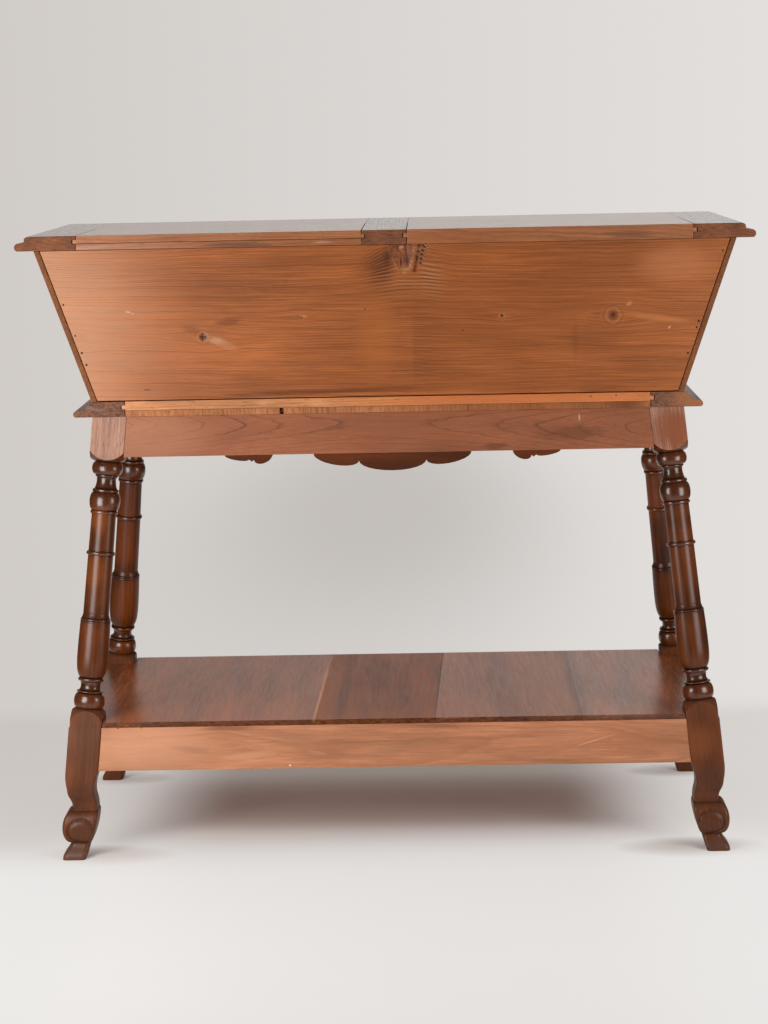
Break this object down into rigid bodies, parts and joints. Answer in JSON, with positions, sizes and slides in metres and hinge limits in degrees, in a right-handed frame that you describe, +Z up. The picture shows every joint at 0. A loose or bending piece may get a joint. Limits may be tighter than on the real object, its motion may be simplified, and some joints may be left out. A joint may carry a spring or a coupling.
{
  "type": "dough bin table",
  "caption": "Wooden dough bin with sloping ends and a lift-off panelled lid, standing loose on a splayed stand with turned legs, scroll feet, a scalloped apron and a low shelf.",
  "frame": {"origin": "on the floor, under the middle of the whole object's box", "axes": "+X along the length, to the right when looking at the plain back; +Y from the plain back towards the scalloped front; +Z up"},
  "size_m": [1.2, 0.5856, 1.0241],
  "materials": {
    "leg_walnut": "dark waxed walnut, polished on the turnings",
    "top_walnut": "waxed walnut, worn and paler",
    "shelf_walnut": "waxed walnut, half gloss",
    "bin_pine": "oiled orange-brown pine with knots",
    "rail_softwood": "unpolished salmon-coloured softwood"
  },
  "bodies": {
    "stand": {"top_end_left": "top_walnut", "top_end_right": "top_walnut", "top_front_rail": "top_walnut", "top_board_rear": "top_walnut", "top_board_middle": "top_walnut", "top_cross_board_left": "top_walnut", "top_cross_board_middle": "top_walnut", "top_cross_board_right": "top_walnut", "leg_back_left": "leg_walnut", "leg_back_right": "leg_walnut", "leg_front_left": "leg_walnut", "leg_front_right": "leg_walnut", "back_rail": "rail_softwood", "front_apron": "leg_walnut", "side_rail_left": "leg_walnut", "side_rail_right": "leg_walnut", "shelf_rail_back": "rail_softwood", "shelf_rail_front": "leg_walnut", "shelf_rail_left": "leg_walnut", "shelf_rail_right": "leg_walnut", "shelf_board_1": "shelf_walnut", "shelf_board_2": "shelf_walnut", "shelf_board_3": "shelf_walnut", "shelf_board_4": "shelf_walnut"},
    "bin": {"bin_back": "bin_pine", "bin_front": "bin_pine", "bin_end_left": "bin_pine", "bin_end_right": "bin_pine", "bin_floor_rear": "bin_pine", "bin_floor_front": "bin_pine"},
    "lid": {"lid_end_left": "top_walnut", "lid_end_right": "top_walnut", "lid_centre_rail": "top_walnut", "lid_board_left_rear": "top_walnut", "lid_board_left_front": "top_walnut", "lid_board_right_rear": "top_walnut", "lid_board_right_front": "top_walnut", "lid_rear_strip": "top_walnut", "lid_cleat_left": "top_walnut", "lid_cleat_right": "top_walnut"}
  },
  "joints": [
    {"name": "bin_lift", "type": "slide", "parent": "stand", "child": "bin", "axis": [0, 0, 1], "range_m": [0, 0.25]},
    {"name": "lid_lift", "type": "slide", "parent": "bin", "child": "lid", "axis": [0, 0, 1], "range_m": [0, 0.3]}
  ]
}
